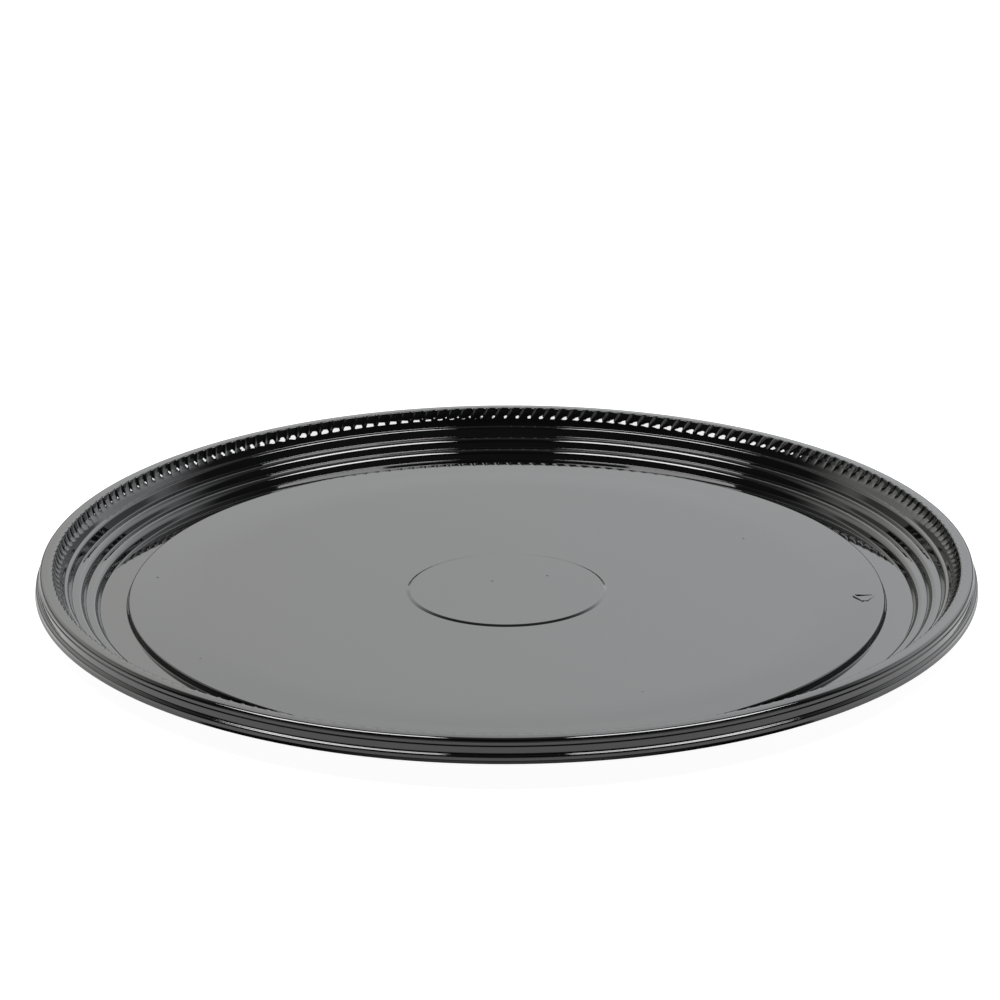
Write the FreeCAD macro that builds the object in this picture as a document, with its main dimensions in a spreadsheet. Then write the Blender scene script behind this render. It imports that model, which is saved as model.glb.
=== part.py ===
import FreeCAD, Part

import math
import os

import Sketcher

# A round serving tray, formed from one sheet of glossy plastic. The upper face of the sheet is drawn once,
# as an open outline from the axis out to the trimmed lip. That outline is offset down by the sheet's
# thickness, filled and revolved, which keeps the wall even all over, as forming does. The flutes of the
# rim are then cut into the upper face, and a small moulded triangle stands on the serving floor.
# The origin is on the tray's axis, on the surface that the foot ring rests on, and Z points up.

DIMENSIONS = {
    "OverallDiameter": 457.2,  # across the trimmed lip: an 18 inch tray
    "SheetThickness": 0.8,
    "DiscRadius": 47.3,  # the raised disc in the middle of the serving floor
    "DiscRise": 0.65,
    "DiscLean": 1.6,  # how far its gentle edge leans out
    "PlateauRadius": 183.9,
    "PlateauRise": 3.1,  # the serving floor's edge above the foot ring around it
    "FloorDish": 1.1,  # how far the middle of the serving floor lies below its edge
    "TurnUpRadius": 160.0,  # where the serving floor starts to turn up towards its edge
    "PlateauLean": 1.0,  # how far the plateau's steep edge leans out
    "FootRadius": 197.7,  # where the stepped wall leaves the foot ring
    "StepPitch": 6.6,  # from the foot of one riser to the foot of the next
    "RiserLean": 1.9,
    "RiserHeight": 4.35,
    "LastLedge": 1.5,  # the narrow ledge between the last riser and the fluted band
    "CrownInset": 9.0,  # from the lip in to the corner between the fluted band and the crown
    "CrownHeight": 22.6,
    "SkirtInset": 1.6,  # from the lip in to the upper wall of the skirt
    "UpperWallEnd": 19.9,  # the height where the upper wall of the skirt ends
    "UpperStep": 0.4,  # how far the step under that wall stands out, and how tall it is
    "MiddleWall": 2.5,  # the height of the skirt's middle wall
    "LowerStep": 0.8,
    "LowerStepDrop": 2.1,
    "LowerWall": 1.4,
    "LipHeight": 11.8,  # the trimmed edge above the table
    "EdgeRadius": 1.0,  # on the plateau's edge
    "CrestRadius": 2.0,  # on the crests of the risers
    "LastCrestRadius": 0.9,  # on the last one, beside its narrow ledge
    "RootRadius": 0.5,  # in the roots of the steps
    "BandRadius": 1.3,  # where the fluted band rolls into the crown
    "CrownRadius": 1.6,  # where the crown rolls into the skirt
    "FluteCount": 208,
    "ScoopRadius": 7.7,  # of the shallow round hollow of one flute
    "ScoopDepth": 0.35,
    "ScoopWidth": 5.4,  # of the cutting bar, which keeps it clear of its neighbours
    "ScoopLength": 6.0,
    "ScoopPlace": 0.62,  # how far up the fluted band the middle of a flute lies
    "ScoopSwirl": 26.0,  # degrees by which a flute leans from the radial line
    "MarkRadius": 174.0,  # from the tray's axis to the middle of the moulded triangle
    "MarkAngle": -4.3,  # degrees from the +X axis
    "MarkSide": 11.0,
    "MarkStroke": 1.0,
    "MarkHeight": 0.25,
}

FLOOR_EDGE = "SheetThickness + PlateauRise"
FLOOR = f"{FLOOR_EDGE} - FloorDish"
LIP = "OverallDiameter / 2"
THIRD_CREST = "FootRadius + 2 * StepPitch + RiserLean"
MIDDLE = "SkirtInset - UpperStep"
LOWER = "SkirtInset - UpperStep - LowerStep"
MIDDLE_TOP = "UpperWallEnd - UpperStep"
LOWER_TOP = "UpperWallEnd - UpperStep - MiddleWall - LowerStepDrop"

# The corners of the sheet's upper face, from the axis outwards: name, radius, height, rounding.
CORNERS = [
    ("Axis", "0", f"{FLOOR} + DiscRise", None),
    ("DiscEdge", "DiscRadius", f"{FLOOR} + DiscRise", None),
    ("DiscFoot", "DiscRadius + DiscLean", FLOOR, None),
    ("TurnUp", "TurnUpRadius", FLOOR, None),
    ("PlateauEdge", "PlateauRadius", FLOOR_EDGE, "EdgeRadius"),
    ("PlateauFoot", "PlateauRadius + PlateauLean", "SheetThickness", "RootRadius"),
    ("FirstRoot", "FootRadius", "SheetThickness", "RootRadius"),
    ("FirstCrest", "FootRadius + RiserLean", "SheetThickness + RiserHeight", "CrestRadius"),
    ("SecondRoot", "FootRadius + StepPitch", "SheetThickness + RiserHeight", "RootRadius"),
    ("SecondCrest", "FootRadius + StepPitch + RiserLean", "SheetThickness + 2 * RiserHeight", "CrestRadius"),
    ("ThirdRoot", "FootRadius + 2 * StepPitch", "SheetThickness + 2 * RiserHeight", "RootRadius"),
    ("ThirdCrest", THIRD_CREST, "SheetThickness + 3 * RiserHeight", "LastCrestRadius"),
    ("BandFoot", f"{THIRD_CREST} + LastLedge", "SheetThickness + 3 * RiserHeight", "RootRadius"),
    ("BandTop", f"{LIP} - CrownInset", "CrownHeight", "BandRadius"),
    ("CrownEdge", f"{LIP} - SkirtInset", "CrownHeight", "CrownRadius"),
    ("UpperWallFoot", f"{LIP} - SkirtInset", "UpperWallEnd", None),
    ("MiddleWallHead", f"{LIP} - ({MIDDLE})", MIDDLE_TOP, None),
    ("MiddleWallFoot", f"{LIP} - ({MIDDLE})", f"{MIDDLE_TOP} - MiddleWall", None),
    ("LowerWallHead", f"{LIP} - ({LOWER})", LOWER_TOP, None),
    ("LowerWallFoot", f"{LIP} - ({LOWER})", f"{LOWER_TOP} - LowerWall", None),
    ("Lip", LIP, "LipHeight", None),
]


def make_sheet(doc, name, cells):
    """A spreadsheet with one aliased cell for each entry."""
    sheet = doc.addObject("Spreadsheet::Sheet", name)
    for row, (alias, content) in enumerate(cells.items(), start=1):
        sheet.set(f"A{row}", alias)
        sheet.set(f"B{row}", str(content))
        sheet.setAlias(f"B{row}", alias)
    doc.recompute()
    return sheet


def with_sheet(expression):
    """The same expression with each alias read from the sheet of dimensions."""
    words = expression.replace("(", "( ").replace(")", " )").split()
    return " ".join(f"Dimensions.{word}" if word in DIMENSIONS else word for word in words)


def make_corner_sheet(doc):
    """A second sheet, which works out every corner of the outline from the driving dimensions."""
    cells = {}
    for name, radius, height, _ in CORNERS:
        cells[f"{name}Radius"] = "=" + with_sheet(radius)
        cells[f"{name}Height"] = "=" + with_sheet(height)
    return make_sheet(doc, "Corners", cells)


def pin(sketch, kind, geo, point, name, expression):
    """Holds one end of a line at a distance from the sketch's origin, bound to a cell."""
    where = sketch.Geometry[geo].StartPoint if point == 1 else sketch.Geometry[geo].EndPoint
    value = where.x if kind == "DistanceX" else where.y
    index = sketch.addConstraint(Sketcher.Constraint(kind, -1, 1, geo, point, value))
    sketch.renameConstraint(index, name)
    sketch.setExpression(f"Constraints.{name}", expression)


def make_outline(doc, corners):
    """The upper face as an open chain of lines, each corner pinned to its cells, then rounded."""
    sketch = doc.addObject("Sketcher::SketchObject", "UpperFace")
    sketch.Placement = FreeCAD.Placement(FreeCAD.Vector(), FreeCAD.Rotation(FreeCAD.Vector(1, 0, 0), 90))
    points = [
        FreeCAD.Vector(corners.get(f"{name}Radius"), corners.get(f"{name}Height"), 0)
        for name, _, _, _ in CORNERS
    ]
    for start, end in zip(points, points[1:]):
        sketch.addGeometry(Part.LineSegment(start, end))
    last = len(points) - 2
    for line in range(last):
        sketch.addConstraint(Sketcher.Constraint("Coincident", line, 2, line + 1, 1))
    sketch.addConstraint(Sketcher.Constraint("PointOnObject", 0, 1, -2))
    for number, (name, _, _, _) in enumerate(CORNERS):
        geo, point = (number, 1) if number <= last else (last, 2)
        if number:
            pin(sketch, "DistanceX", geo, point, f"{name}Radius", f"Corners.{name}Radius")
        pin(sketch, "DistanceY", geo, point, f"{name}Height", f"Corners.{name}Height")
    for number, (name, _, _, rounding) in enumerate(CORNERS):
        if rounding:
            radius = doc.Dimensions.get(rounding)
            sketch.fillet(number - 1, 2, radius, True, True)
            arc = sketch.GeometryCount - 1
            while sketch.Geometry[arc].TypeId != "Part::GeomArcOfCircle":
                arc -= 1
            index = sketch.addConstraint(Sketcher.Constraint("Radius", arc, radius))
            sketch.renameConstraint(index, f"{name}Rounding")
            sketch.setExpression(f"Constraints.{name}Rounding", f"Dimensions.{rounding}")
    doc.recompute()
    return sketch


def make_formed_sheet(doc, outline):
    """The formed sheet: the outline thickened downwards, and turned once round the axis."""
    section = doc.addObject("Part::Offset2D", "WallSection")
    section.Source = outline
    section.Mode = "Skin"
    section.Join = "Arc"
    section.Fill = True
    section.setExpression("Value", "-Dimensions.SheetThickness")
    formed = doc.addObject("Part::Revolution", "FormedSheet")
    formed.Source = section
    formed.Axis = FreeCAD.Vector(0, 0, 1)
    formed.Base = FreeCAD.Vector()
    formed.Angle = 360
    formed.Solid = True
    doc.recompute()
    return formed


def make_flute(doc, corners):
    """The bar that cuts one flute, on the +X side, lying along the slope of the fluted band.

    It is a slice of a round bar: only the part near the sheet, so that the bars don't run into each other.
    """
    size = doc.Dimensions
    foot = FreeCAD.Vector(corners.BandFootRadius, 0, corners.BandFootHeight)
    top = FreeCAD.Vector(corners.BandTopRadius, 0, corners.BandTopHeight)
    along = (top - foot).normalize()
    outward = FreeCAD.Vector(-along.z, 0, along.x)
    direction = FreeCAD.Rotation(outward, size.ScoopSwirl).multVec(along)
    turn = FreeCAD.Rotation(outward, direction.cross(outward), direction, "ZXY")
    middle = foot + (top - foot) * size.ScoopPlace + outward * (size.ScoopRadius - size.ScoopDepth)
    start = middle - direction * (size.ScoopLength / 2)
    bar = doc.addObject("Part::Cylinder", "RoundBar")
    bar.setExpression("Radius", "Dimensions.ScoopRadius")
    bar.setExpression("Height", "Dimensions.ScoopLength")
    bar.Placement = FreeCAD.Placement(start, turn)
    slab = doc.addObject("Part::Box", "BarSlab")
    slab.setExpression("Length", "4 * Dimensions.ScoopDepth")
    slab.setExpression("Width", "Dimensions.ScoopWidth")
    slab.setExpression("Height", "Dimensions.ScoopLength")
    corner = FreeCAD.Vector(-size.ScoopRadius - size.ScoopDepth, -size.ScoopWidth / 2, 0)
    slab.Placement = FreeCAD.Placement(start + turn.multVec(corner), turn)
    flute = doc.addObject("Part::Common", "Flute")
    flute.Base = bar
    flute.Tool = slab
    doc.recompute()
    return flute


def make_flutes(doc, bar):
    """The same bar repeated round the rim. FreeCAD has no plain polar array of a Part solid."""
    count = int(doc.Dimensions.FluteCount)
    ring = doc.addObject("Part::Feature", "Flutes")
    copies = []
    for number in range(count):
        copy = bar.Shape.copy()
        copy.rotate(FreeCAD.Vector(), FreeCAD.Vector(0, 0, 1), 360 * number / count)
        copies.append(copy)
    ring.Shape = Part.makeCompound(copies)
    return ring


def cut(doc, name, base, tool):
    """base with tool taken out of it."""
    result = doc.addObject("Part::Cut", name)
    result.Base = base
    result.Tool = tool
    doc.recompute()
    return result


def joined(doc, name, pieces):
    """The pieces as one solid."""
    result = doc.addObject("Part::MultiFuse", name)
    result.Shapes = pieces
    doc.recompute()
    return result


def make_mark(doc):
    """Three low bars in an open triangle on the turned-up floor: a plain stand-in for a material mark."""
    size = doc.Dimensions
    middle = FreeCAD.Vector(size.MarkRadius, 0, 0)
    middle = FreeCAD.Rotation(FreeCAD.Vector(0, 0, 1), size.MarkAngle).multVec(middle)
    slope = size.FloorDish / (size.PlateauRadius - size.TurnUpRadius)
    middle.z = size.SheetThickness + size.PlateauRise - slope * (size.PlateauRadius - size.MarkRadius)
    tilt = FreeCAD.Rotation(FreeCAD.Vector(0, 1, 0), -math.degrees(math.atan(slope)))
    inner_radius = size.MarkSide / (2 * math.sqrt(3))
    bars = []
    for side in range(3):
        bar = doc.addObject("Part::Box", f"MarkBar{side + 1}")
        bar.setExpression("Length", "Dimensions.MarkSide - 2 * Dimensions.MarkStroke")
        bar.setExpression("Width", "Dimensions.MarkStroke")
        bar.setExpression("Height", "2 * Dimensions.MarkHeight")
        turn = tilt.multiply(FreeCAD.Rotation(FreeCAD.Vector(0, 0, 1), 120 * side))
        corner = FreeCAD.Vector(size.MarkStroke - size.MarkSide / 2, inner_radius - size.MarkStroke / 2,
                                -size.MarkHeight)
        bar.Placement = FreeCAD.Placement(middle + turn.multVec(corner), turn)
        bars.append(bar)
    return bars


def check(doc, nodes):
    """Stops the build if any object failed, or if a node isn't one valid solid, and prints its size."""
    for item in doc.Objects:
        if "Invalid" in item.State or "Error" in item.State:
            raise RuntimeError(f"{item.Label} failed: {item.State}")
    for node in nodes:
        shape = node.Shape
        if shape.isNull() or not shape.isValid() or len(shape.Solids) != 1:
            raise RuntimeError(f"{node.Label} is not one valid solid")
        box = shape.optimalBoundingBox()
        size = (round(box.XLength, 2), round(box.YLength, 2), round(box.ZLength, 2))
        print(node.Label, "volume", round(shape.Volume), "mm3, box", size, "from z", round(box.ZMin, 3))


def main():
    doc = FreeCAD.newDocument("ServingTray")
    make_sheet(doc, "Dimensions", DIMENSIONS)
    corners = make_corner_sheet(doc)
    outline = make_outline(doc, corners)
    formed = make_formed_sheet(doc, outline)
    flutes = make_flutes(doc, make_flute(doc, corners))
    fluted = cut(doc, "FlutedSheet", formed, flutes)
    tray = joined(doc, "Tray", [fluted, *make_mark(doc)])
    tray.Label = "tray"
    tray.Placement = FreeCAD.Placement()
    doc.recompute()
    nodes = [tray]
    check(doc, nodes)
    os.makedirs("parts", exist_ok=True)
    for node in nodes:
        node.Shape.exportStep(f"parts/{node.Label}.step")


main()
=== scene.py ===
import math

import bmesh
import bpy
from mathutils import Matrix, Vector


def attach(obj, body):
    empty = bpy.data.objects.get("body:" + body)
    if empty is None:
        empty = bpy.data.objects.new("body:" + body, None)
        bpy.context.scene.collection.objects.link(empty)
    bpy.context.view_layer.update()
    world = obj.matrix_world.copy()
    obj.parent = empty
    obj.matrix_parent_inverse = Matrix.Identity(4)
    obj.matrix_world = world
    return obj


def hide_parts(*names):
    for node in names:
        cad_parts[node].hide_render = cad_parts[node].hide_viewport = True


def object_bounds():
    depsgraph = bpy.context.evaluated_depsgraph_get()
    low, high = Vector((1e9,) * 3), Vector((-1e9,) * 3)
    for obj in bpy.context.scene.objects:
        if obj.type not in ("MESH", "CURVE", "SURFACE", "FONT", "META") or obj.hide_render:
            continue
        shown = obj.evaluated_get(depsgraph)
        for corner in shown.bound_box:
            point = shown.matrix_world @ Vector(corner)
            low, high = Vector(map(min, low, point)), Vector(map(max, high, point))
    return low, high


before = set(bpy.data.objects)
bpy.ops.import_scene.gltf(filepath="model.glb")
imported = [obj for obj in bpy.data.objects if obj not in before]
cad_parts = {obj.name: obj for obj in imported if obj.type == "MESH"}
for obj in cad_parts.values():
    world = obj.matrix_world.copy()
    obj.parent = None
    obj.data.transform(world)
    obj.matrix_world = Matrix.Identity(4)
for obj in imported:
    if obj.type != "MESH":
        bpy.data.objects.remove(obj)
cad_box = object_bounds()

# A round black serving tray, thermoformed from one plastic sheet. Outlines are in millimetres.
MM = 0.001
TURN = 2 * math.pi

# The tray's own sizes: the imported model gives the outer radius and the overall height.
RIM_RADIUS = cad_box[1].x / MM
RIM_HEIGHT = cad_box[1].z / MM
SHEET = 0.8            # thickness of the sheet
CREST = 0.95           # rounding of the edges of the disc and the floor
STAIR_CREST = 3.4      # rounding of the first two stairs of the wall
THIRD_CREST = 1.6      # rounding of the last one, beside its narrow ledge
ROOT = 0.5             # rounding of an inner bend
RIM_BEND = 0.85        # rounding of small bends of the rim, a little over the sheet's thickness

FLOOR_HEIGHT = 2.8     # upper face of the serving floor, over its flat middle
PLATEAU_HEIGHT = 3.9   # the same at its edge, which turns up a little
TURN_UP = (160, 450)   # radius where it starts to turn up, and the rounding of that turn
FOOT_HEIGHT = 0.8      # upper face of the channel that the tray stands on
DISC_RADIUS = 47.3     # the raised disc in the middle
DISC_RISE = 0.65
DISC_LEAN = 1.6        # how far its gentle edge leans out
PLATEAU_RADIUS = 183.9
PLATEAU_LEAN = 1.0
FOOT_RADIUS = 197.7
STEP_PITCH = 6.6       # from one stair of the wall to the next
RISER_LEAN = 1.9
RISER_HEIGHT = 4.35

# The fluted band: leaning hollows between narrow ridges, from the third stair up to the crown.
FLUTES = 208
COLUMN_PLACES = (0, 0.07, 0.26, 0.74, 0.93)    # mesh columns across a flute, from the ridge beside it
FLUTE_COLUMNS = len(COLUMN_PLACES)
FLUTE_DEPTH = 0.9
FLUTE_SQUARENESS = 5            # how flat the bottom of a hollow is
FLUTE_SWIRL = 0.55              # how far a flute leans round from its foot to its top, in flutes
FLUTE_FOOT = (216.0, 217.6)     # radii of the short slope that ends a hollow below
FLUTE_TOP = (217.6, 221.4)      # radii between which it dies away into the crown
BAND_RUN = 1.3                  # spacing of the mesh rings up the band

ROUND_STEPS = FLUTES   # mesh columns of the plain rings
SECTORS = 16           # a ring is made of this many equal sectors
ARC_STEP = math.radians(15)
HOLD = 0.3             # extra ring beside each bend, which keeps the flats flat
CREASE = math.radians(50)    # an edge sharper than this is shaded as a crease


def rounded(corners):
    """The outline through the corners, each a radius, a height and a rounding, with its arcs."""
    places = [Vector(corner[:2]) for corner in corners]
    runs = [end - start for start, end in zip(places, places[1:])]
    turns = [0] + [run.angle(after) for run, after in zip(runs, runs[1:])] + [0]
    reaches = [corner[2] * math.tan(turn / 2) for corner, turn in zip(corners, turns)]
    free = [run.length - reach - after for run, reach, after in zip(runs, reaches, reaches[1:])]
    points = [places[0]]
    for i in range(1, len(corners) - 1):
        back, ahead = -runs[i - 1].normalized(), runs[i].normalized()
        centre = places[i] + (back + ahead).normalized() * corners[i][2] / math.cos(turns[i] / 2)
        start, end = (places[i] + way * reaches[i] - centre for way in (back, ahead))
        count = max(2, math.ceil(turns[i] / ARC_STEP))
        if free[i - 1] > 2 * HOLD:
            points.append(centre + start + back * HOLD)
        points += [centre + corners[i][2] * start.slerp(end, step / count) for step in range(count + 1)]
        if free[i] > 2 * HOLD:
            points.append(centre + end + ahead * HOLD)
    return points + [places[-1]]


def divided(points, longest):
    """The same outline with its longer runs cut into even pieces."""
    result = [points[0]]
    for start, end in zip(points, points[1:]):
        count = max(1, round((end - start).length / longest))
        result += [start.lerp(end, i / count) for i in range(1, count + 1)]
    return result


def under(corners):
    """The corners of the sheet's lower face, one thickness below those of its upper face."""
    places = [Vector(corner[:2]) for corner in corners]
    runs = [(end - start).normalized() for start, end in zip(places, places[1:])]
    result = []
    for place, corner, run_in, run_out in zip(places, corners, runs[:1] + runs, runs + runs[-1:]):
        side = Vector((run_in.y + run_out.y, -run_in.x - run_out.x)) / (1 + run_in.dot(run_out))
        outer_bend = run_in.cross(run_out) < 0
        bend = corner[2] - SHEET if outer_bend else corner[2] + SHEET
        result.append((*(place + side * SHEET), bend))
    return result


def stair(number):
    """Foot and crest of one riser of the wall, counted from the floor up."""
    radius = FOOT_RADIUS + number * STEP_PITCH
    height = FOOT_HEIGHT + number * RISER_HEIGHT
    return (radius, height, ROOT), (radius + RISER_LEAN, height + RISER_HEIGHT, STAIR_CREST)


FLOOR = [
    (0, FLOOR_HEIGHT + DISC_RISE, 0),
    (DISC_RADIUS, FLOOR_HEIGHT + DISC_RISE, CREST),
    (DISC_RADIUS + DISC_LEAN, FLOOR_HEIGHT, ROOT),
    (TURN_UP[0], FLOOR_HEIGHT, TURN_UP[1]),
    (PLATEAU_RADIUS, PLATEAU_HEIGHT, CREST),
    (PLATEAU_RADIUS + PLATEAU_LEAN, FOOT_HEIGHT, ROOT),
    *stair(0), *stair(1),
]
BAND = [
    stair(2)[0],
    (*stair(2)[1][:2], THIRD_CREST),
    (214.3, 14.0, ROOT),
    (219.6, RIM_HEIGHT, RIM_BEND),
]
CROWN_FALL = 0.4       # how much lower the crown is at its outer edge
UPPER_WALL = RIM_RADIUS - 2.4
MIDDLE_WALL = RIM_RADIUS - 2.0
LOWER_WALL = RIM_RADIUS - 0.4
SKIRT = [
    (UPPER_WALL, RIM_HEIGHT - CROWN_FALL, 2.0),
    (UPPER_WALL, 19.45, 0.4),
    (MIDDLE_WALL, 18.95, RIM_BEND),
    (MIDDLE_WALL, 15.58, 1.15),
    (LOWER_WALL, 15.0, 1.15),
    (LOWER_WALL, 13.3, RIM_BEND),
    (RIM_RADIUS, 11.8, 0),
]
# The finely meshed band starts on the tread of the second stair and ends on the crown.
LEDGE_RUN = 3.2        # from that stair's crest, beyond its rounding
CROWN_PART = 222.6     # radius on the crown
LEDGE_SPLIT = (FLOOR[-1][0] + LEDGE_RUN, FLOOR[-1][1], 0)
CROWN_DROP = CROWN_FALL * (CROWN_PART - BAND[-1][0]) / (SKIRT[0][0] - BAND[-1][0])
CROWN_SPLIT = (CROWN_PART, RIM_HEIGHT - CROWN_DROP, 0)


def turned(bm, outline, steps):
    """A surface of revolution about the upright axis. Returns its first and its last ring of edges."""
    for item in bm.verts[:] + bm.edges[:] + bm.faces[:]:
        item.tag = True
    axis = {"cent": (0, 0, 0), "axis": (0, 0, 1), "dvec": (0, 0, 0)}
    verts = [bm.verts.new((p.x * MM, 0, p.y * MM)) for p in outline]
    edges = [bm.edges.new(pair) for pair in zip(verts, verts[1:])]
    bmesh.ops.spin(bm, geom=verts + edges, angle=TURN / SECTORS, steps=steps // SECTORS, **axis)
    sector = [item for item in bm.verts[:] + bm.edges[:] + bm.faces[:] if not item.tag]
    bmesh.ops.spin(bm, geom=sector, angle=TURN - TURN / SECTORS, steps=SECTORS - 1,
                   use_duplicate=True, **axis)
    bmesh.ops.remove_doubles(bm, verts=[v for v in bm.verts if not v.tag], dist=1e-6)
    rim = [edge for edge in bm.edges if edge.is_boundary and not edge.tag]
    inside = {edge for edge in rim if edge.verts[0].co.xy.length / MM - outline[0].x < 0.01}
    return list(inside), [edge for edge in rim if edge not in inside]


def joined(bm, plain, fine):
    """Joins a plain ring of edges to a fine one, which has more points to the round."""
    split = bmesh.ops.subdivide_edges(bm, edges=plain, cuts=FLUTE_COLUMNS - 1)["geom_split"]
    parts = [item for item in split if isinstance(item, bmesh.types.BMEdge) and item.is_boundary]
    bmesh.ops.bridge_loops(bm, edges=parts + fine)


def ease(value, low, high):
    """0 below low, 1 above high, and smooth between."""
    t = min(max((value - low) / (high - low), 0), 1)
    return t * t * (3 - 2 * t)


def hollow_shape(phase):
    """Depth across a flute, from one ridge to the next: a wide hollow with a steep side to each ridge."""
    return 1 - abs(2 * phase - 1) ** FLUTE_SQUARENESS


def flute(bm, verts):
    """Hollows the flutes: each ring slides round by the swirl, and its points sink along their normals."""
    bm.normal_update()
    moves = []
    for v in verts:
        radius = v.co.xy.length / MM
        around = math.atan2(v.co.y, v.co.x)
        column = round(around / TURN * FLUTES * FLUTE_COLUMNS) % (FLUTES * FLUTE_COLUMNS)
        number, column = divmod(column, FLUTE_COLUMNS)
        depth = ease(radius, *FLUTE_FOOT) * (1 - ease(radius, *FLUTE_TOP))
        lean = FLUTE_SWIRL * min(max((radius - FLUTE_FOOT[0]) / (FLUTE_TOP[1] - FLUTE_FOOT[0]), 0), 1)
        angle = TURN * (number + COLUMN_PLACES[column] - lean) / FLUTES
        push = -v.normal * depth * hollow_shape(COLUMN_PLACES[column]) * FLUTE_DEPTH * MM
        turn = Matrix.Rotation(angle - around, 3, "Z")
        moves.append((v, turn @ (v.co + push)))
    for v, place in moves:
        v.co = place


def finish_mesh(bm, name):
    """Makes the object, smooth except at its sharp creases."""
    for face in bm.faces:
        face.smooth = True
    for edge in bm.edges:
        edge.smooth = len(edge.link_faces) == 2 and edge.calc_face_angle(0) < CREASE
    mesh = bpy.data.meshes.new(name)
    bm.to_mesh(mesh)
    bm.free()
    piece = bpy.data.objects.new(name, mesh)
    bpy.context.scene.collection.objects.link(piece)
    return piece


def make_tray():
    """The formed sheet: its upper face with the fluted band, its outer wall and its underside."""
    bm = bmesh.new()
    floor = turned(bm, rounded([*FLOOR, LEDGE_SPLIT]), ROUND_STEPS)
    plain = set(bm.verts)
    band = turned(bm, divided(rounded([LEDGE_SPLIT, *BAND, CROWN_SPLIT]), BAND_RUN), FLUTES * FLUTE_COLUMNS)
    flute(bm, [v for v in bm.verts if v not in plain])
    skirt = turned(bm, rounded([CROWN_SPLIT, *SKIRT]), ROUND_STEPS)
    below = turned(bm, rounded(under([*FLOOR, *BAND, *SKIRT])), ROUND_STEPS)
    joined(bm, floor[1], band[0])
    joined(bm, skirt[0], band[1])
    bmesh.ops.bridge_loops(bm, edges=skirt[1] + below[1])
    bmesh.ops.recalc_face_normals(bm, faces=bm.faces)
    return finish_mesh(bm, "serving_tray")


# Small relief on the serving floor.

def floor_height(radius):
    """Height of the serving floor's upper face, in its disc, in its middle or on its turned-up edge."""
    if radius < DISC_RADIUS:
        return FLOOR_HEIGHT + DISC_RISE
    slope = (PLATEAU_HEIGHT - FLOOR_HEIGHT) / (PLATEAU_RADIUS - TURN_UP[0])
    return FLOOR_HEIGHT + slope * max(radius - TURN_UP[0], 0)


MARK_RADIUS = 174.0    # from the tray's axis to the middle of the triangle
MARK_ANGLE = math.radians(-4.3)
MARK_SIDE = 11.0
BAR_SHARE = 0.74       # share of a side that its bar covers; the corners stay open
BAR_OFFSET = 0.289     # from the middle of a triangle to its side, for sides of 1
BAR_WIDTH = 1.35
BAR_HEIGHT = 0.35
BAR_ROUNDING = 0.2


def make_mark():
    """The moulder's mark: a plain triangle of three low bars, without any lettering."""
    bm = bmesh.new()
    bmesh.ops.create_cube(bm, size=1)
    size = (MARK_SIDE * BAR_SHARE, BAR_WIDTH, 2 * BAR_HEIGHT)
    bmesh.ops.scale(bm, vec=size, verts=bm.verts)
    top = [edge for edge in bm.edges if edge.verts[0].co.z + edge.verts[1].co.z > 0]
    bmesh.ops.bevel(bm, geom=top, offset=BAR_ROUNDING, offset_type="OFFSET", affect="EDGES", segments=3,
                    profile=0.5, material=-1)
    bmesh.ops.translate(bm, vec=(0, MARK_SIDE * BAR_OFFSET, 0), verts=bm.verts)
    bar = bm.verts[:] + bm.edges[:] + bm.faces[:]
    for i in (1, 2):
        made = bmesh.ops.duplicate(bm, geom=bar)["geom"]
        copy = [item for item in made if isinstance(item, bmesh.types.BMVert)]
        turn = Matrix.Rotation(i * TURN / 3, 3, "Z")
        bmesh.ops.rotate(bm, cent=(0, 0, 0), matrix=turn, verts=copy)
    across, along = MARK_RADIUS * math.cos(MARK_ANGLE), MARK_RADIUS * math.sin(MARK_ANGLE)
    bmesh.ops.translate(bm, vec=(across, along, floor_height(MARK_RADIUS)), verts=bm.verts)
    bmesh.ops.scale(bm, vec=(MM, MM, MM), verts=bm.verts)
    return finish_mesh(bm, "moulded_triangle")


# Places of the vent pips on the floor, and their radii.
PIPS = [
    (-172, 16, 0.7), (-7, 10, 0.6), (20, 17, 0.6),
    (-143, -88, 0.5), (62, -128, 0.5), (120, 70, 0.5),
]
PIP_FLATNESS = 0.4


def make_pips():
    """Tiny pimples that the mould's vent holes leave on the floor."""
    bm = bmesh.new()
    for x, y, radius in PIPS:
        made = bmesh.ops.create_uvsphere(bm, u_segments=16, v_segments=8, radius=radius)["verts"]
        bmesh.ops.scale(bm, vec=(1, 1, PIP_FLATNESS), verts=made)
        bmesh.ops.translate(bm, vec=(x, y, floor_height(math.hypot(x, y))), verts=made)
    bmesh.ops.scale(bm, vec=(MM, MM, MM), verts=bm.verts)
    return finish_mesh(bm, "vent_pips")


# Materials.

def new_group(name, inputs, outputs):
    """An empty shader node group with its sockets. An input is a name and a default value."""
    group = bpy.data.node_groups.new(name, "ShaderNodeTree")
    for label, value in inputs:
        group.interface.new_socket(label, in_out="INPUT", socket_type="NodeSocketFloat").default_value = value
    for label, kind in outputs:
        group.interface.new_socket(label, in_out="OUTPUT", socket_type=kind)
    return group, group.nodes.new("NodeGroupInput"), group.nodes.new("NodeGroupOutput")


def maths(nodes, links, operation, *values):
    """A math node whose inputs are sockets or plain numbers. Returns its output."""
    node = nodes.new("ShaderNodeMath")
    node.operation = operation
    for socket, value in zip(node.inputs, values):
        if isinstance(value, (int, float)):
            socket.default_value = value
        else:
            links.new(value, socket)
    return node.outputs[0]


def noise(nodes, links, vector, scale, detail):
    """A noise texture of the given scale. Returns its value."""
    node = nodes.new("ShaderNodeTexNoise")
    node.inputs["Detail"].default_value = detail
    node.inputs["Scale"].default_value = scale
    links.new(vector, node.inputs["Vector"])
    return node.outputs["Fac"]


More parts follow.
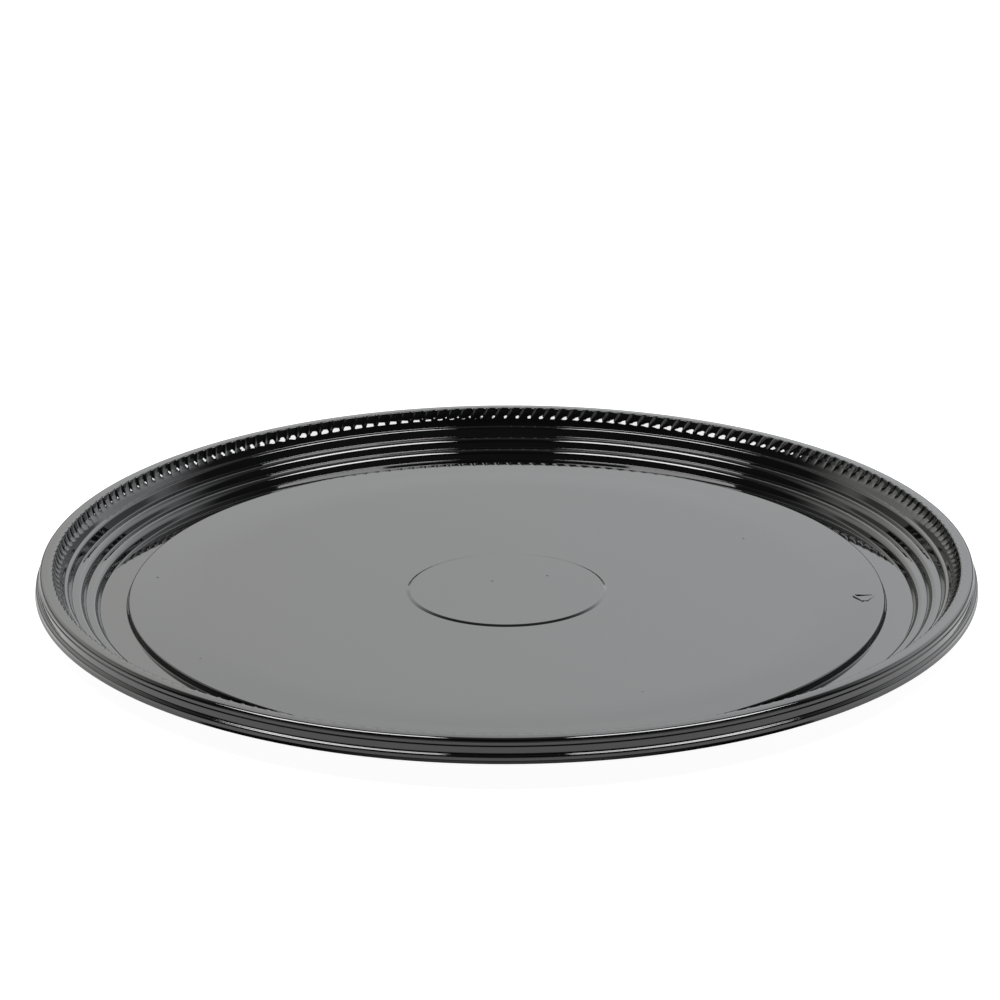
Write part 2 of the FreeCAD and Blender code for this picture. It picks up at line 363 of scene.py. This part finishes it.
def remap(nodes, links, value, low, high, new_low, new_high):
    """A smooth map from one range to another. Returns its value."""
    node = nodes.new("ShaderNodeMapRange")
    node.interpolation_type = "SMOOTHSTEP"
    links.new(value, node.inputs["Value"])
    for socket, number in zip(("From Min", "From Max", "To Min", "To Max"), (low, high, new_low, new_high)):
        node.inputs[socket].default_value = number
    return node.outputs["Result"]


def make_ripple_group():
    """Unevenness of a formed sheet: slow waves, and the fine grain of its skin. Gives a height in metres."""
    group, into, out = new_group(
        "sheet_ripple", [("Wave Height", 0.0001), ("Grain Height", 0.000002)],
        [("Height", "NodeSocketFloat")])
    nodes, links = group.nodes, group.links
    place = nodes.new("ShaderNodeTexCoord").outputs["Object"]
    wave = noise(nodes, links, place, 7.0, 1.0)
    grain = noise(nodes, links, place, 700.0, 2.0)
    waves = maths(nodes, links, "MULTIPLY", wave, into.outputs["Wave Height"])
    grains = maths(nodes, links, "MULTIPLY", grain, into.outputs["Grain Height"])
    links.new(maths(nodes, links, "ADD", waves, grains), out.inputs["Height"])
    return group


def make_handling_group():
    """Traces of handling: a thin film of dust with wiped patches, and hair-fine scuffs. Gives two masks."""
    group, into, out = new_group(
        "handling", [("Dust", 0.5), ("Scuffs", 0.5)],
        [("Dust Mask", "NodeSocketFloat"), ("Scuff Mask", "NodeSocketFloat")])
    nodes, links = group.nodes, group.links
    place = nodes.new("ShaderNodeTexCoord").outputs["Object"]
    patches = remap(nodes, links, noise(nodes, links, place, 14.0, 3.0), 0.42, 0.66, 0, 1)
    specks = remap(nodes, links, noise(nodes, links, place, 900.0, 1.0), 0.66, 0.74, 0, 1)
    film = maths(nodes, links, "ADD", maths(nodes, links, "MULTIPLY", patches, 0.35), specks)
    dust = maths(nodes, links, "MULTIPLY", film, into.outputs["Dust"])
    stretched = nodes.new("ShaderNodeMapping")
    stretched.inputs["Rotation"].default_value = (0, 0, 0.6)
    stretched.inputs["Scale"].default_value = (1, 34, 34)
    links.new(place, stretched.inputs["Vector"])
    lines = remap(nodes, links, noise(nodes, links, stretched.outputs["Vector"], 22.0, 2.0), 0.69, 0.74, 0, 1)
    scuffs = maths(nodes, links, "MULTIPLY", lines, into.outputs["Scuffs"])
    links.new(dust, out.inputs["Dust Mask"])
    links.new(scuffs, out.inputs["Scuff Mask"])
    return group


RIPPLE = make_ripple_group()
HANDLING = make_handling_group()
DEEP_BLACK = (0.0018, 0.0018, 0.0019, 1)
DUSTY_BLACK = (0.0060, 0.0059, 0.0057, 1)
PET_IOR = 1.57
DUST_DULLING = 0.05    # roughness that full dust adds
SCUFF_DULLING = 0.09   # roughness that a full scuff adds


def glossy_plastic(name, wave, grain, dust, scuffs, gloss):
    """Dyed-through glossy PET: a near-black body, and a polished skin with faint traces of handling."""
    material = bpy.data.materials.new(name)
    material.use_nodes = True
    nodes, links = material.node_tree.nodes, material.node_tree.links
    shader = nodes["Principled BSDF"]
    shader.inputs["IOR"].default_value = PET_IOR
    traces = nodes.new("ShaderNodeGroup")
    traces.node_tree = HANDLING
    traces.inputs["Dust"].default_value = dust
    traces.inputs["Scuffs"].default_value = scuffs
    colour = nodes.new("ShaderNodeMix")
    colour.data_type = "RGBA"
    colour.inputs["A"].default_value = DEEP_BLACK
    colour.inputs["B"].default_value = DUSTY_BLACK
    links.new(traces.outputs["Dust Mask"], colour.inputs["Factor"])
    links.new(colour.outputs["Result"], shader.inputs["Base Color"])
    dulled = maths(nodes, links, "MULTIPLY_ADD", traces.outputs["Dust Mask"], DUST_DULLING, gloss)
    rough = maths(nodes, links, "MULTIPLY_ADD", traces.outputs["Scuff Mask"], SCUFF_DULLING, dulled)
    links.new(rough, shader.inputs["Roughness"])
    ripple = nodes.new("ShaderNodeGroup")
    ripple.node_tree = RIPPLE
    ripple.inputs["Wave Height"].default_value = wave
    ripple.inputs["Grain Height"].default_value = grain
    bump = nodes.new("ShaderNodeBump")
    bump.inputs["Distance"].default_value = 1.0
    links.new(ripple.outputs["Height"], bump.inputs["Height"])
    links.new(bump.outputs["Normal"], shader.inputs["Normal"])
    return material


# Stage, light and camera.

PAPER_GLOW = 0.95
PAPER_RADIUS = 9


def paper_glow(nodes, links):
    """Glow of the paper: even to the camera, but dim in reflections, except on the near side."""
    split = nodes.new("ShaderNodeSeparateXYZ")
    links.new(nodes.new("ShaderNodeTexCoord").outputs["Object"], split.inputs[0])
    across, along = split.outputs[:2]
    squares = [maths(nodes, links, "MULTIPLY", way, way) for way in (across, along)]
    distance = maths(nodes, links, "SQRT", maths(nodes, links, "ADD", *squares))
    nearness = maths(nodes, links, "DIVIDE", maths(nodes, links, "MULTIPLY", along, -1.0),
                     maths(nodes, links, "MAXIMUM", distance, 0.01))
    reflected = remap(nodes, links, nearness, 0.06, 0.26, 0.28, PAPER_GLOW)
    seen = nodes.new("ShaderNodeLightPath").outputs["Is Camera Ray"]
    glow = nodes.new("ShaderNodeMix")
    links.new(seen, glow.inputs["Factor"])
    links.new(reflected, glow.inputs["A"])
    glow.inputs["B"].default_value = PAPER_GLOW
    return glow.outputs["Result"]


def make_floor():
    """The paper under the tray, which belongs to the stage."""
    bm = bmesh.new()
    bmesh.ops.create_circle(bm, cap_ends=True, segments=96, radius=PAPER_RADIUS)
    floor = finish_mesh(bm, "studio_floor")
    material = bpy.data.materials.new("studio_paper")
    material.use_nodes = True
    nodes, links = material.node_tree.nodes, material.node_tree.links
    shader = nodes["Principled BSDF"]
    shader.inputs["Base Color"].default_value = (0.30, 0.30, 0.30, 1)
    shader.inputs["Emission Color"].default_value = (1, 1, 1, 1)
    links.new(paper_glow(nodes, links), shader.inputs["Emission Strength"])
    shader.inputs["Roughness"].default_value = 0.9
    shader.inputs["Specular IOR Level"].default_value = 0.1
    floor.data.materials.append(material)


BOX_WIDTH = 0.88
BOX_DEPTH = 0.57
BOX_PLACE = (0.64, 0.045, 1.5)    # of the right one
BOX_RADIANCE = 13.0


def make_softbox(name, side):
    """One of two large boxes over the tray, left and right of the middle."""
    light = bpy.data.lights.new(name, "AREA")
    light.shape = "RECTANGLE"
    light.size, light.size_y = BOX_WIDTH, BOX_DEPTH
    light.energy = BOX_RADIANCE * 4 * BOX_WIDTH * BOX_DEPTH
    box = bpy.data.objects.new(name, light)
    box.location = (side * BOX_PLACE[0], *BOX_PLACE[1:])
    box.visible_camera = False
    bpy.context.scene.collection.objects.link(box)


WARM_LEFT = (1.0, 1.0, 0.97, 1)
COOL_RIGHT = (0.98, 1.0, 1.02, 1)
BACKDROP_STRENGTH = 1.1


def room_strength(nodes, links, across, along, up):
    """Brightness each way: a pale wall on the far side, dark overhead, a low band on the near side."""
    rise = maths(nodes, links, "MULTIPLY", up, up)
    level = maths(nodes, links, "SQRT", maths(nodes, links, "SUBTRACT", 1.0, rise))
    heading = maths(nodes, links, "DIVIDE", along, maths(nodes, links, "MAXIMUM", level, 0.001))
    wall = remap(nodes, links, up, 0.46, 0.80, 1.0, 0.10)
    far_side = remap(nodes, links, heading, 0.0, 0.42, 0.03, 1.0)
    brighter_right = remap(nodes, links, across, -0.35, 0.35, 1.42, 1.74)
    higher = remap(nodes, links, up, 0.32, 0.42, 0.92, 1.15)
    skirting = remap(nodes, links, up, 0.15, 0.21, 0.25, 1.0)
    room = maths(nodes, links, "MULTIPLY", maths(nodes, links, "MULTIPLY", wall, far_side), brighter_right)
    room = maths(nodes, links, "MULTIPLY", room, skirting)
    near_side = remap(nodes, links, heading, -0.45, -0.30, 0.75, 0.0)
    over_table = remap(nodes, links, up, 0.06, 0.12, 0, 1)
    under_window = remap(nodes, links, up, 0.29, 0.33, 1, 0)
    band = maths(nodes, links, "MULTIPLY", over_table, under_window)
    return maths(nodes, links, "MULTIPLY_ADD", near_side, band, maths(nodes, links, "MULTIPLY", room, higher))


def make_room():
    """The surroundings as the tray reflects them. The camera itself sees plain white."""
    world = bpy.data.worlds.new("studio")
    bpy.context.scene.world = world
    world.use_nodes = True
    nodes, links = world.node_tree.nodes, world.node_tree.links
    background = nodes["Background"]
    split = nodes.new("ShaderNodeSeparateXYZ")
    links.new(nodes.new("ShaderNodeTexCoord").outputs["Generated"], split.inputs[0])
    across, along, up = split.outputs
    room = room_strength(nodes, links, across, along, up)
    tint = nodes.new("ShaderNodeMix")
    tint.data_type = "RGBA"
    tint.inputs["A"].default_value = WARM_LEFT
    tint.inputs["B"].default_value = COOL_RIGHT
    links.new(remap(nodes, links, across, -0.3, 0.2, 0, 1), tint.inputs["Factor"])
    seen = nodes.new("ShaderNodeLightPath").outputs["Is Camera Ray"]
    backdrop = nodes.new("ShaderNodeMix")
    backdrop.data_type = "RGBA"
    links.new(seen, backdrop.inputs["Factor"])
    links.new(tint.outputs["Result"], backdrop.inputs["A"])
    backdrop.inputs["B"].default_value = (1, 1, 1, 1)
    strength = nodes.new("ShaderNodeMix")
    links.new(seen, strength.inputs["Factor"])
    links.new(room, strength.inputs["A"])
    strength.inputs["B"].default_value = BACKDROP_STRENGTH
    links.new(backdrop.outputs["Result"], background.inputs["Color"])
    links.new(strength.outputs["Result"], background.inputs["Strength"])


CAMERA_PLACE = (0.0, -1.68739, 0.66520)
CAMERA_TURNS = ((0.105, "Z"), (69.95, "X"), (-0.179, "Z"))    # heading, tilt and roll, in degrees
CAMERA_LENS = 133.46


def make_camera():
    """The camera in front of the tray, looking down on it."""
    camera = bpy.data.objects.new("camera", bpy.data.cameras.new("camera"))
    camera.data.lens = CAMERA_LENS
    camera.data.sensor_width = 36
    camera.data.clip_start, camera.data.clip_end = 0.05, 50
    heading, tilt, roll = (Matrix.Rotation(math.radians(angle), 4, axis) for angle, axis in CAMERA_TURNS)
    camera.matrix_world = Matrix.Translation(CAMERA_PLACE) @ heading @ tilt @ roll
    bpy.context.scene.collection.objects.link(camera)
    bpy.context.scene.camera = camera


sheet_plastic = glossy_plastic(
    "formed_sheet", wave=0.00006, grain=0.0000012, dust=0.35, scuffs=0.6, gloss=0.035)
relief_plastic = glossy_plastic(
    "moulded_relief", wave=0.0, grain=0.000002, dust=0.2, scuffs=0.8, gloss=0.07)
pieces = [(make_tray(), sheet_plastic), (make_mark(), relief_plastic), (make_pips(), relief_plastic)]
for piece, material in pieces:
    piece.data.materials.append(material)
    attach(piece, "root")
    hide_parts("tray")

make_floor()
make_softbox("softbox_left", -1)
make_softbox("softbox_right", 1)
make_room()
make_camera()
bpy.context.scene.view_settings.view_transform = "Standard"
